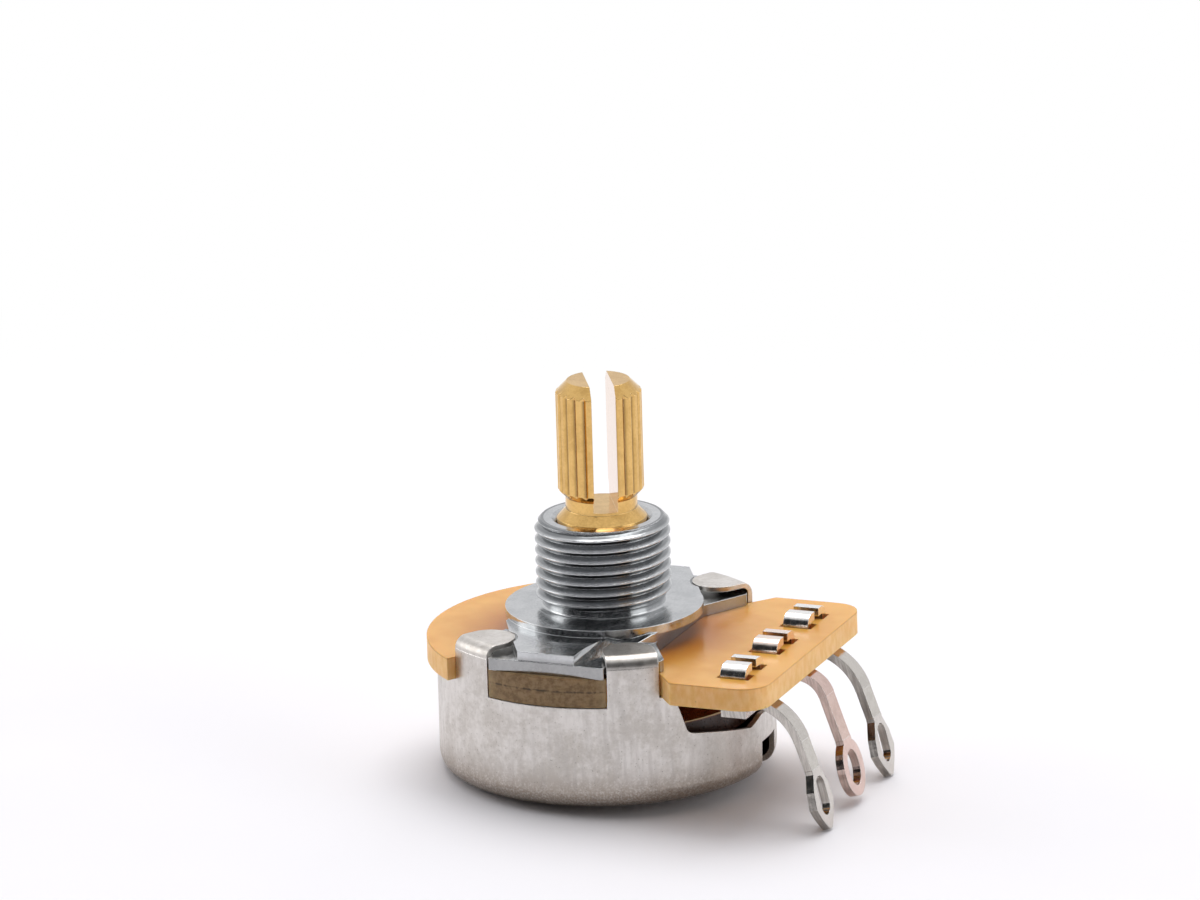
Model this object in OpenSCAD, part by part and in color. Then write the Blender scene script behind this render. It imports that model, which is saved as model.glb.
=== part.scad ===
// Panel-mount rotary potentiometer with a split, splined shaft and solder lugs.
// The origin is on the shaft axis at the panel seat, the top face of the round flange.
// +Z runs up the shaft, +X towards the terminals. All lengths are in millimetres.

/* [Bushing] */
// Outside diameter of the mounting thread
thread_d = 9.525; // [9.2:0.025:10]
// Height of the threaded barrel above the panel seat
barrel_h = 6.35; // [5.5:0.05:9]
// Chamfer on the rim of the barrel
barrel_chamfer = 0.45; // [0.2:0.05:0.6]
// Chamfer at the mouth of the bore
mouth_chamfer = 0.35; // [0.1:0.05:0.6]
// Diameter of the round flange that seats on the panel
flange_d = 13.95; // [12.5:0.05:15]
// Thickness of the round flange
flange_t = 0.65; // [0.55:0.05:0.9]

/* [Mounting plate] */
// Height of the panel seat above the wafer
plate_h = 2; // [1.8:0.05:2.6]
// Thickness of the four ears that the tabs clamp
ear_t = 0.85; // [0.6:0.05:1.1]
// Depth of the raised pads below the panel seat
pad_drop = 0.5; // [0.3:0.05:0.55]
// Half width of the waist under the flange
waist_x = 5.6; // [5.3:0.1:6.2]
// Distance from the axis at which the waist widens into the ears
waist_y = 4.6; // [4:0.1:5.4]
// Direction of the ears' outer corners, from +X
ear_angle = 47; // [46:1:50]
// Gap between the ears and the cover wall
ear_fit = 0.15; // [0.05:0.05:0.4]
// Rounding where the waist widens into an ear
waist_fillet = 2; // [1:0.1:2.5]
// Corner radius of an ear
ear_corner = 0.45; // [0.2:0.05:0.8]
// Depth of the notch between an ear and the nose
ear_notch = 0.4; // [0.2:0.05:0.6]
// Set-back of the nose between each pair of tabs from the cover's outside
nose_inset = 0.65; // [0.4:0.05:1]
// Corner radius of the nose
nose_corner = 0.2; // [0.1:0.05:0.4]
// Gap between the nose and the tab on each side
nose_fit = 0.15; // [0.1:0.05:0.6]
// Set-back of a raised pad from the nose's front face
pad_setback = 0.12; // [0.05:0.01:0.4]
// Half width of a raised pad at the nose
pad_x = 2.1; // [1.6:0.1:2.6]
// Side reach of a raised pad at its root
pad_root_x = 4.1; // [3.6:0.1:4.6]
// Distance from the axis to a raised pad's root
pad_root_y = 7.5; // [7:0.1:8]
// Gap around a tab's round end in its recess
recess_gap = 0.2; // [0.1:0.05:0.4]
// Radius of the scooped side wall in plan
scoop_r = 8.8; // [8:0.2:10]
// How far the scooped wall leans back at the pad's root
scoop_lean = 1.3; // [0.6:0.1:1.6]
// Diameter of the clip chamber under the plate
chamber_d = 10.2; // [9.6:0.1:10.6]
// Depth of the clip chamber
chamber_h = 1.05; // [0.9:0.05:1.2]

/* [Shaft] */
// Diameter of the shaft in its bearing
shaft_d = 6.35; // [6:0.05:6.4]
// Radial running gap of the shaft in the bushing
running_gap = 0.05; // [0.02:0.01:0.1]
// Height of the shaft tip above the panel seat
shaft_top = 16.25; // [14:0.25:22]
// Diameter over the splines
spline_d = 6.03; // [5.9:0.01:6.1]
// Number of splines
spline_count = 24; // [18:6:40]
// Depth of the grooves between the splines
spline_depth = 0.2; // [0.1:0.02:0.3]
// Length of the splined stretch
spline_len = 7; // [5:0.25:9]
// Chamfer at the tip, measured across
tip_chamfer = 0.8; // [0.3:0.1:1]
// Diameter of the turned neck below the splines
neck_d = 5.06; // [4.6:0.02:5.4]
// Length of the neck
neck_len = 0.9; // [0.6:0.1:1.6]
// Length of the taper from the neck up to the splines
taper_len = 0.55; // [0.3:0.05:0.8]
// Width of the slot that splits the tip
slot_w = 1.7; // [1:0.1:2]
// Height of the slot's floor above the panel seat
slot_floor = 7.2; // [6.8:0.1:8]
// Direction of the slot, from +X
slot_angle = -61; // [-90:1:90]
// Width of the groove for the retaining clip
groove_w = 0.65; // [0.5:0.05:0.7]
// Diameter at the bottom of that groove
groove_d = 5.2; // [4.8:0.1:5.6]
// Diameter of the tenon that drives the rotor
tenon_d = 5; // [4.6:0.1:5.4]
// Width across the tenon's two flats
tenon_flats = 3.8; // [3.4:0.1:4.4]
// Diameter of the swaged head under the rotor
swage_d = 6.4; // [6:0.1:7]
// Thickness of the swaged head
swage_t = 0.55; // [0.4:0.05:0.8]

/* [Retaining clip] */
// Outside diameter of the clip
clip_d = 9; // [8.4:0.1:9.2]
// Opening of the clip's mouth
clip_mouth = 4.4; // [3.6:0.1:4.8]
// Running gap over the clip
clip_gap = 0.08; // [0.05:0.01:0.15]
// Radial slack of the clip in its groove
clip_slack = 0.05; // [0.02:0.01:0.1]

/* [Wafer] */
// Thickness of the wafer
wafer_t = 1.6; // [1.2:0.1:1.8]
// Overhang of the wafer's round end past the cover
wafer_overhang = 0.67; // [0.4:0.01:1]
// Reach of the terminal end past the cover
tail_reach = 3.74; // [3.2:0.02:5]
// Width of wafer beyond the middle of an end terminal
tail_margin = 4.3; // [3.9:0.1:4.8]
// Corner radius of the terminal end
tail_corner = 2; // [1:0.1:2.5]
// Distance from the cover's outside back to where the slanting shoulders meet the terminal end
shoulder_inset = 3; // [2.4:0.1:3.2]
// Gap between the wafer and the tabs
wafer_fit = 0.08; // [0.04:0.02:0.3]
// Set-back of the locating tongues from the cover's outside
tongue_inset = 0.05; // [0:0.05:0.3]
// Depth of the lip under each locating tongue
tongue_drop = 0.45; // [0.2:0.05:0.8]
// Thickness of that lip
tongue_lip = 1.4; // [1.2:0.1:2]
// Diameter of the hole for the shaft
wafer_bore = 7.1; // [6.9:0.1:7.6]

/* [Cover] */
// Outside diameter of the cover
cover_d = 23.8; // [23.6:0.1:24.4]
// Thickness of the cover's sheet
cover_t = 0.4; // [0.3:0.05:0.5]
// Depth of the cover from its rim to its back
cover_h = 7.95; // [7.6:0.05:9]
// Outer corner radius at the back
cover_corner = 1.3; // [0.9:0.1:1.8]
// Direction of each tab, from the X axis
tab_angle = 59; // [58:1:60]
// Width of a tab
tab_w = 3.65; // [3:0.05:4]
// Thickness of a tab, a little thinner than the wall it grows from
tab_t = 0.36; // [0.3:0.02:0.38]
// Width of rim left beside each tab
tab_relief = 0.1; // [0.05:0.05:0.3]
// Outer bend radius of a tab's fold
tab_bend = 0.85; // [0.6:0.05:1]
// Reach of a folded tab inwards from the cover wall
tab_reach = 3.6; // [3:0.1:4]
// Height at which the tabs stand off the ears
tab_lift = 0.3; // [0:0.05:0.4]
// Gap under the wafer's tongue in its notch between a pair of tabs
tongue_gap = 0.05; // [0.02:0.01:0.2]
// Half width of the terminal window at the rim, beyond the middle of an end terminal
window_top = 2.2; // [1.9:0.05:2.4]
// Half width of the terminal window at its corners, beyond the middle of an end terminal
window_foot = 1.45; // [1.1:0.05:1.7]
// Height of the terminal window's lower corners above the back of the cover
window_foot_h = 5.05; // [4.6:0.05:5.3]
// Corner radius of the terminal window
window_corner = 0.6; // [0.3:0.1:1]
// Distance from the middle at which the window's sill is lowest
sill_y = 2.2; // [1.8:0.1:3]
// Height of the sill above the back of the cover at its lowest
sill_h = 4; // [3.6:0.05:4.4]
// Height of the raised middle of the sill
sill_rise = 0.55; // [0.2:0.05:0.8]
// Half width of that raised middle
sill_rise_y = 0.6; // [0.4:0.1:1]
// Rounding of the sill's bends
sill_fillet = 0.4; // [0.2:0.1:0.5]
// Direction of the stop, from +X
stop_angle = 4; // [-6:1:8]
// Width of the strip that is sheared and bent in as the stop
stop_w = 3; // [2.4:0.1:3.2]
// Height of the stop's bend above the back of the cover
stop_h = 2.55; // [2.3:0.05:2.8]
// Depth to which the stop is bent in
stop_depth = 1.1; // [0.9:0.05:1.3]
// Gap around the stop where it was sheared
shear_gap = 0.08; // [0.04:0.02:0.15]

/* [Resistive element] */
// Thickness of the printed layers
print_t = 0.05; // [0.03:0.01:0.1]
// Distance from the cover's inside to the printed track
track_inset = 1.7; // [1.2:0.1:1.9]
// Width of the printed track
track_w = 2.6; // [2.2:0.1:2.8]
// Direction at which the carbon track ends, from +X
track_end = 44; // [40:1:50]
// Direction at which the silver pads end, from +X
silver_end = 26; // [22:1:28]

/* [Terminals] */
// Spacing of the three terminals
terminal_pitch = 6.2; // [6:0.05:6.5]
// Thickness of the terminal strip
strip_t = 0.6; // [0.45:0.05:0.65]
// Width of the terminal strip
strip_w = 1.5; // [1.2:0.1:1.8]
// Distance of the prongs past the cover
prong_reach = 0.85; // [0.5:0.05:1.1]
// Width of a prong
prong_w = 1.85; // [1.6:0.05:2.1]
// Half span of a terminal's two prongs
prong_y = 1.8; // [1.7:0.05:2.1]
// Offset of the prongs from the middle of the strip
prong_shift = -0.3; // [-0.4:0.1:0.4]
// Height of the folded prongs above the wafer
prong_h = 0.85; // [0.65:0.05:1]
// Gap between the ends of two folded prongs
prong_gap = 0.8; // [0.3:0.05:1]
// Gap outside a prong in its slot
prong_fit = 0.08; // [0.05:0.01:0.15]
// Gap at each end of a prong in its slot
slot_end = 0.25; // [0.1:0.05:0.4]
// Room behind a prong in its slot
slot_back = 0.55; // [0.1:0.05:0.6]
// Distance from the track's outer edge to the middle of an end terminal's contact pad
end_pad_inset = 0.49; // [0.4:0.01:0.8]
// Radius of an end terminal's contact pad
end_pad_r = 0.85; // [0.75:0.05:0.9]
// Outer radius of the end terminals' bend
end_bend_r = 4.5; // [4:0.1:5]
// Distance past the cover at which the end terminals start to bend
end_bend_reach = 1.1; // [0.9:0.1:1.5]
// Angle that the end terminals' legs slope down
end_slope = 70; // [60:1:80]
// Length of an end terminal's straight leg
end_leg = 2.25; // [1.5:0.05:3]
// Outer radius of the middle terminal's bend
middle_bend_r = 2.4; // [2:0.1:3]
// Distance past the cover at which the middle terminal starts to bend
middle_bend_reach = 2.65; // [2.1:0.05:3.1]
// Length of the middle terminal's straight leg
middle_leg = 3.45; // [2.5:0.05:4]
// Angle of the solder lugs, down from level
lug_slope = 76; // [70:1:85]
// Length of an end terminal's solder lug
lug_len = 4.3; // [3.8:0.1:5]
// Half width of an end terminal's solder lug
lug_half_w = 1.6; // [1.3:0.05:1.8]
// Width of the slotted eye in an end lug
eye_w = 1.5; // [1:0.1:1.7]
// Length of the slotted eye in an end lug
eye_len = 2.8; // [2:0.1:3]
// Distance from an end lug's root to the middle of its eye
eye_at = 1.9; // [1.8:0.05:2.4]
// Length of the middle terminal's oval lug
oval_len = 4.1; // [3.6:0.1:4.6]
// Half width of the middle terminal's oval lug
oval_half_w = 1.75; // [1.5:0.05:2]
// Rim width of the oval lug around its eye
oval_rim = 0.75; // [0.5:0.05:0.9]

/* [Collector ring] */
// Inner radius of the collector ring
collector_in = 4.2; // [4:0.1:4.4]
// Width of the collector ring
collector_w = 1.4; // [1.2:0.1:1.6]

/* [Rotor] */
// Depth of the rotor's top face below the wafer
rotor_drop = 2.4; // [2.2:0.1:2.8]
// Running gap between the rotor disc and the cover
rotor_gap = 0.7; // [0.4:0.1:1.5]
// Thickness of the rotor disc
rotor_t = 1.6; // [1.2:0.1:1.8]
// Diameter of the hub under the rotor disc
hub_d = 9; // [8:0.1:10]
// Thickness of the hub under the rotor disc
hub_t = 0.6; // [0.4:0.1:0.8]
// Gap around the tenon in the rotor
tenon_fit = 0.04; // [0.02:0.01:0.08]
// Total travel of the shaft in degrees
travel = 300; // [240:5:310]
// Angle left between the rotor lug and the stop at each end
stop_slack = 0.5; // [0.3:0.1:2]
// Set-back of the stop lug from the rotor's rim
stop_lug_inset = 0.15; // [0.1:0.05:0.3]
// Length of the stop lug under the rotor, towards the axis
stop_lug_len = 2.05; // [1.6:0.05:2.6]
// Gap between the stop lug and the back of the cover
stop_lug_gap = 0.9; // [0.6:0.1:1.2]
// Radius of the two pegs that hold the contact spring
peg_r = 0.45; // [0.35:0.05:0.55]
// Height of a peg above the contact spring
peg_rise = 0.2; // [0.1:0.05:0.3]

/* [Contact spring] */
// Thickness of the spring sheet
spring_t = 0.22; // [0.15:0.01:0.3]
// Inner radius of the spring's ring
spring_in = 3.6; // [3.5:0.1:3.8]
// Outer radius of the spring's ring
spring_out = 5.9; // [5.7:0.1:6.2]
// Distance from the track's inner edge to where its fingers touch
touch_inset = 0.65; // [0.5:0.05:0.8]
// Width of one track finger
finger_w = 0.95; // [0.7:0.05:1.2]
// Gap between the two track fingers
finger_gap = 0.35; // [0.2:0.05:0.6]
// Width of a collector finger
collector_finger_w = 0.9; // [0.6:0.05:1.1]
// Direction of the collector fingers, from +X
collector_finger_angle = 60; // [50:1:75]
// Gap left between a finger and what it sweeps
touch_gap = 0.04; // [0.02:0.01:0.08]

/* [Hidden] */
$fn = 96;
// Overlap of a cutting shape past the face that it cuts
cut = 1;
// Overlap of a terminal's leg with its bend
leg_lap = 0.1;
// How far a terminal's leg is drawn in all round past its bend
leg_draw = 0.01;

// Heights along the axis, from the panel seat
wafer_top = -plate_h;
wafer_bottom = wafer_top - wafer_t;
rim_z = wafer_bottom;
back_z = rim_z - cover_h;
ear_top = wafer_top + ear_t;
pad_top = -pad_drop;
chamber_top = wafer_top + chamber_h;
clip_top = chamber_top - clip_gap;
groove_floor = clip_top - groove_w;
print_bottom = wafer_bottom - print_t;
strip_bottom = print_bottom - strip_t;
rotor_top = wafer_bottom - rotor_drop;
rotor_bottom = rotor_top - rotor_t;
hub_bottom = rotor_bottom - hub_t;
cone_z = barrel_h;
cone_h = (shaft_d - neck_d) / 2;
neck_z = cone_z + cone_h;
taper_z = neck_z + neck_len;
spline_z = taper_z + taper_len;
tip_z = spline_z + spline_len;

// Radii and half widths
cover_r = cover_d / 2;
cover_in = cover_r - cover_t;
ear_r = cover_in - ear_fit;
tab_r = cover_r - (cover_t - tab_t) / 2;
tab_seat = ear_top + tab_lift;
fold_z = tab_seat + tab_t - tab_bend;
tab_gap_x = cover_r * cos(tab_angle) - tab_w / 2 * sin(tab_angle) - tab_relief;
nose_x = tab_gap_x - nose_fit;
tab_end_r = cover_r - tab_reach;
recess_r = tab_end_r + tab_w / 2;
nose_y = cover_r - nose_inset;
tongue_x = tab_gap_x - wafer_fit;
tongue_r = cover_r - tongue_inset;
wafer_r = cover_r + wafer_overhang;
tail_x = cover_r + tail_reach;
tail_y = terminal_pitch + tail_margin;
track_out = cover_in - track_inset;
collector_out = collector_in + collector_w;
track_in = track_out - track_w;
track_touch_r = track_in + touch_inset;
prong_x = cover_r + prong_reach;
end_bend_x = cover_r + end_bend_reach;
middle_bend_x = cover_r + middle_bend_reach;
end_pad_x = sqrt(pow(track_out - end_pad_inset, 2) - terminal_pitch * terminal_pitch);
rotor_r = cover_in - rotor_gap;
lug_out = rotor_r - stop_lug_inset;
stop_top = back_z + stop_h;
stop_in = cover_r - stop_depth - cover_t;
stop_half_angle = asin(stop_w / 2 / stop_in);
lug_half_angle = 180 - travel / 2 - stop_half_angle - stop_slack;

// A point at radius r in direction a
function polar(r, a) = [r * cos(a), r * sin(a)];

// An angle brought between -180 and 180 degrees
function wrapped(a) = a - 360 * round(a / 360);

// Arc of radius r that rounds the corner b between the neighbours a and c
function corner_arc(a, b, c, r, n) =
    let (u = (a - b) / norm(a - b))
    let (v = (c - b) / norm(c - b))
    let (half = acos(u * v) / 2)
    let (centre = b + (u + v) / norm(u + v) * r / sin(half))
    let (from = b + u * r / tan(half) - centre)
    let (to = b + v * r / tan(half) - centre)
    let (start = atan2(from[1], from[0]))
    let (turn = wrapped(atan2(to[1], to[0]) - start))
    [for (i = [0 : n]) centre + polar(r, start + turn * i / n)];

// An outline with its corners rounded by the radii listed beside its points
function rounded(points, radii, n = 6) =
    let (last = len(points) - 1)
    [for (i = [0 : last])
        each radii[i] > 0
            ? corner_arc(points[i == 0 ? last : i - 1], points[i], points[i == last ? 0 : i + 1], radii[i], n)
            : [points[i]]];

// Outline of a sheet of thickness t, bent along a path through its middle
function sheet(path, t) =
    let (last = len(path) - 1)
    let (run = [for (i = [1 : last]) (path[i] - path[i - 1]) / norm(path[i] - path[i - 1])])
    let (side = [for (i = [0 : last])
                     let (u = run[max(i - 1, 0)])
                     let (both = u + run[min(i, last - 1)])
                     [-both[1], both[0]] / (both * u)])
    concat([for (i = [0 : last]) path[i] - side[i] * t / 2],
           [for (i = [last : -1 : 0]) path[i] + side[i] * t / 2]);

// A flat ring sector between two radii and two directions
module sector(r_in, r_out, from, to, h) {
    rotate([0, 0, from])
        rotate_extrude(angle = to - from)
            translate([r_in, 0])
                square([r_out - r_in, h]);
}

// A flat ring
module ring(r_in, r_out, h) {
    difference() {
        cylinder(r = r_out, h = h);
        translate([0, 0, -cut])
            cylinder(r = r_in, h = h + 2 * cut);
    }
}

// The four mirrored places of the tabs, ears and recesses
module on_four_sides() {
    for (mx = [0, 1], my = [0, 1])
        mirror([mx, 0, 0])
            mirror([0, my, 0])
                children();
}

// A quarter bend of sheet: it starts upright at x = 0 and turns over towards -X
module quarter_bend(radius, thickness, width) {
    translate([-radius, 0, 0])
        rotate([90, 0, 0])
            rotate_extrude(angle = 90)
                translate([radius - thickness, -width / 2])
                    square([thickness, width]);
}

// Solid cup: a cylinder with a rounded lower edge, standing on z = 0
module rounded_cup(r, h, edge) {
    rotate_extrude() {
        square([r - edge, h]);
        translate([0, edge])
            square([r, h - edge]);
        translate([r - edge, edge])
            intersection() {
                circle(edge, $fn = 64);
                translate([0, -edge])
                    square(edge);
            }
    }
}

// Extrudes an outline drawn in Y and Z along X, from x0 to x1
module along_x(x0, x1) {
    translate([x0, 0, 0])
        rotate([90, 0, 90])
            linear_extrude(x1 - x0)
                children();
}

// Prism of a tab's width that runs out from the radius x0, at the direction tab_angle
module tab_prism(x0) {
    rotate([0, 0, tab_angle])
        translate([x0, -tab_w / 2, back_z])
            cube([2 * cover_r, tab_w, 2 * cover_h]);
}

// Fold of one tab: it starts inside its post and lies over the ear
module tab_fold() {
    intersection() {
        rotate_extrude() {
            translate([tab_r - tab_t, fold_z - tab_t])
                square(tab_t);
            translate([tab_r - tab_bend, fold_z])
                intersection() {
                    difference() {
                        circle(tab_bend, $fn = 64);
                        circle(tab_bend - tab_t, $fn = 64);
                    }
                    square(tab_bend);
                }
            translate([tab_end_r, tab_seat])
                square([tab_r - tab_bend - tab_end_r, tab_t]);
        }
        union() {
            tab_prism(recess_r);
            rotate([0, 0, tab_angle])
                translate([recess_r, 0, back_z])
                    cylinder(d = tab_w, h = 2 * cover_h);
        }
    }
}

// Wall and back of the cover, with the wall left standing as a post under each tab
module cover_cup() {
    tall = fold_z - back_z;
    difference() {
        translate([0, 0, back_z])
            rounded_cup(cover_r, tall, cover_corner);
        translate([0, 0, back_z + cover_t])
            rounded_cup(cover_in, tall, cover_corner - cover_t);
        difference() {
            translate([0, 0, rim_z])
                cylinder(r = cover_r + cut, h = cover_h);
            on_four_sides()
                tab_prism(0);
        }
    }
}

// Strip of the wall, seen along Y, that leans in under its bend and then hangs straight down
module stop_profile() {
    top = [cover_r - 0.3 * cover_t, stop_top + 0.25 * cover_t];
    foot = [cover_r - stop_depth, stop_top - stop_depth];
    turn = atan2(top[0] - foot[0], top[1] - foot[1]);
    end_z = back_z + cover_t / 2;
    polygon([top, foot, [foot[0], end_z], [stop_in, end_z], [stop_in, foot[1] + cover_t * tan(turn / 2)],
             top + cover_t * [-cos(turn), sin(turn)]]);
}

// Drawn sheet cover with four folded tabs, a terminal window and a sheared, bent-in stop
module cover() {
    strip = stop_w - 2 * shear_gap;
    color([0.72, 0.70, 0.66]) {
        difference() {
            cover_cup();
            rotate([0, 0, stop_angle])
                translate([stop_in - shear_gap, -stop_w / 2, back_z - cut])
                    cube([cover_r, stop_w, stop_h + cut]);
            along_x(0, cover_r + cut)
                window_outline();
            for (side = [0, 1])
                mirror([0, side, 0])
                    translate([-tab_gap_x, 0, rim_z - tongue_drop - tongue_gap])
                        cube([2 * tab_gap_x, cover_r + cut, cover_h]);
        }
        rotate([0, 0, stop_angle])
            translate([0, strip / 2, 0])
                rotate([90, 0, 0])
                    linear_extrude(strip)
                        stop_profile();
        on_four_sides()
            tab_fold();
    }
}

// Terminal window, seen along X: wider at the rim, with a sill that dips beside its raised middle
module window_outline() {
    top_y = terminal_pitch + window_top;
    foot_y = terminal_pitch + window_foot;
    corner_z = back_z + window_foot_h;
    low_z = back_z + sill_h;
    side = [[sill_rise_y, low_z + sill_rise], [sill_y, low_z], [foot_y, corner_z], [top_y, rim_z],
            [top_y, rim_z + cut]];
    other = [for (i = [len(side) - 1 : -1 : 0]) [-side[i][0], side[i][1]]];
    round_by = [sill_fillet, sill_fillet, window_corner, 0, 0];
    round_back = [for (i = [len(side) - 1 : -1 : 0]) round_by[i]];
    polygon(rounded(concat(side, other), concat(round_by, round_back)));
}

// Outline of the mounting plate: a waist, four ears and two noses
module plate_outline() {
    corner = polar(ear_r, ear_angle);
    root_y = sqrt(ear_r * ear_r - nose_x * nose_x) - ear_notch;
    quarter = [[waist_x, waist_y], corner, [nose_x, root_y], [nose_x, nose_y]];
    flip = [[1, 1], [-1, 1], [-1, -1], [1, -1]];
    order = [[0, 1, 2, 3], [3, 2, 1, 0], [0, 1, 2, 3], [3, 2, 1, 0]];
    radius = [waist_fillet, ear_corner, 0, nose_corner];
    points = [for (k = [0 : 3], i = order[k]) [quarter[i][0] * flip[k][0], quarter[i][1] * flip[k][1]]];
    radii = [for (k = [0 : 3], i = order[k]) radius[i]];
    polygon(rounded(points, radii));
}

// Outline of the raised pads: they narrow from the waist to each nose
module pad_outline() {
    pad_y = nose_y - pad_setback;
    side = [[waist_x, waist_y], [pad_root_x, pad_root_y], [pad_x, pad_y], [-pad_x, pad_y],
            [-pad_root_x, pad_root_y], [-waist_x, waist_y]];
    other = [for (p = side) -p];
    round_by = [0, 0.8, 0, 0, 0.8, 0];
    polygon(rounded(concat(side, other), concat(round_by, round_by), 4));
}

// Cutter for the scooped side wall of a pad: straight along its foot, hollowed along its crest
module scoop() {
    far = [nose_y, nose_y + cut];
    foot = [[pad_x, -nose_y - cut], [pad_x, -nose_y + pad_setback], [pad_root_x, -pad_root_y]];
    crest_centre = [pad_x + scoop_r, -nose_y + scoop_lean];
    crest = [for (i = [-2 : 7]) crest_centre - polar(scoop_r, -i * 5)];
    hull() {
        translate([0, 0, ear_top])
            linear_extrude(0.001)
                polygon(concat(foot, [[far[0], -pad_root_y], [far[0], -far[1]]]));
        translate([0, 0, pad_top])
            linear_extrude(cut)
                polygon(concat(crest, [[far[0], -waist_y], [far[0], -far[1]]]));
    }
}

// Raised pads over the ears, recessed round each tab's end and scooped on one side
module raised_pads() {
    place = polar(recess_r, tab_angle);
    difference() {
        translate([0, 0, wafer_top])
            linear_extrude(pad_top - wafer_top)
                pad_outline();
        on_four_sides()
            translate([place[0], place[1], ear_top])
                cylinder(r = tab_w / 2 + recess_gap, h = plate_h);
        for (turn = [0, 180])
            rotate([0, 0, turn])
                scoop();
    }
}

// Die-cast bushing, flange and mounting plate in one piece
module bushing_plate() {
    color([0.62, 0.65, 0.68])
        difference() {
            union() {
                translate([0, 0, wafer_top])
                    linear_extrude(ear_t)
                        plate_outline();
                raised_pads();
                intersection() {
                    translate([0, 0, wafer_top])
                        cylinder(d = flange_d - 0.6, h = plate_h);
                    translate([-waist_x, -flange_d / 2, wafer_top])
                        cube([2 * waist_x, flange_d, plate_h]);
                }
                translate([0, 0, -flange_t])
                    cylinder(d = flange_d, h = flange_t);
                cylinder(d = thread_d, h = barrel_h - barrel_chamfer);
                translate([0, 0, barrel_h - barrel_chamfer])
                    cylinder(d1 = thread_d, d2 = thread_d - 2 * barrel_chamfer, h = barrel_chamfer);
            }
            translate([0, 0, wafer_top - cut])
                cylinder(r = shaft_d / 2 + running_gap, h = plate_h + barrel_h + 2 * cut);
            translate([0, 0, wafer_top - cut])
                cylinder(d = chamber_d, h = chamber_h + cut);
            translate([0, 0, barrel_h - mouth_chamfer])
                cylinder(r1 = shaft_d / 2 + running_gap, r2 = shaft_d / 2 + running_gap + 2 * mouth_chamfer,
                         h = 2 * mouth_chamfer);
        }
}

// Outline of the splined stretch: flat-topped teeth with V grooves between them
module spline_outline() {
    crest = spline_d / 2;
    root = crest - spline_depth;
    step = 360 / spline_count;
    polygon([for (i = [0 : spline_count - 1])
                each [polar(root, i * step), polar(crest, (i + 0.32) * step), polar(crest, (i + 0.68) * step)]]);
}

// Splined tip above the neck, drawn from the foot of its taper: cones cut its two ends
module splined_tip() {
    crest = spline_d / 2;
    outside = crest + 1;
    h = shaft_top - taper_z;
    foot_rise = taper_len / (crest - neck_d / 2);
    tip_fall = (shaft_top - tip_z) / tip_chamfer;
    intersection() {
        linear_extrude(h)
            spline_outline();
        rotate_extrude()
            polygon([[0, 0], [neck_d / 2, 0], [outside, foot_rise * (outside - neck_d / 2)],
                     [outside, h - tip_fall * (outside - crest + tip_chamfer)],
                     [crest - tip_chamfer, h], [0, h]]);
    }
}

// Two-flatted tenon grown by a margin, running past the rotor by some overlap at each end
module flatted_tenon(margin, overlap) {
    h = rotor_top - hub_bottom + 2 * overlap;
    translate([0, 0, hub_bottom - overlap])
        rotate([0, 0, slot_angle])
            intersection() {
                cylinder(r = tenon_d / 2 + margin, h = h);
                translate([-tenon_d, -tenon_flats / 2 - margin, -cut])
                    cube([2 * tenon_d, tenon_flats + 2 * margin, h + 2 * cut]);
            }
}

// Turned shaft: splined split tip, neck, bearing, clip groove, tenon and swaged head
module shaft() {
    bearing = shaft_d / 2;
    neck = neck_d / 2;
    groove = groove_d / 2;
    swage = swage_d / 2;
    color([0.80, 0.63, 0.30])
        difference() {
            union() {
                translate([0, 0, taper_z])
                    splined_tip();
                rotate_extrude()
                    polygon([[0, rotor_top], [bearing, rotor_top], [bearing, groove_floor],
                             [groove, groove_floor], [groove, groove_floor + groove_w],
                             [bearing, groove_floor + groove_w], [bearing, cone_z], [neck, neck_z],
                             [neck, taper_z], [0, taper_z]]);
                flatted_tenon(0, swage_t / 2);
                translate([0, 0, hub_bottom - swage_t])
                    rotate_extrude()
                        polygon([[0, 0], [swage - swage_t / 3, 0], [swage, swage_t / 3],
                                 [swage, swage_t], [0, swage_t]]);
            }
            translate([0, 0, slot_floor])
                rotate([0, 0, slot_angle])
                    translate([-shaft_d, -slot_w / 2, 0])
                        cube([2 * shaft_d, slot_w, shaft_top]);
        }
}

// Spring-steel clip that sits in the shaft's groove and keeps it in the bushing
module retaining_clip() {
    color([0.45, 0.46, 0.48])
        translate([0, 0, groove_floor])
            difference() {
                ring(groove_d / 2 + clip_slack, clip_d / 2, groove_w - clip_slack);
                translate([0, -clip_mouth / 2, -cut])
                    cube([clip_d, clip_mouth, groove_w + 2 * cut]);
            }
}

// The stretch between a pair of tabs, out to the tongues' curved fronts
module tongue_outline() {
    intersection() {
        circle(tongue_r);
        square([2 * tongue_x, 2 * cover_r], center = true);
    }
}

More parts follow.
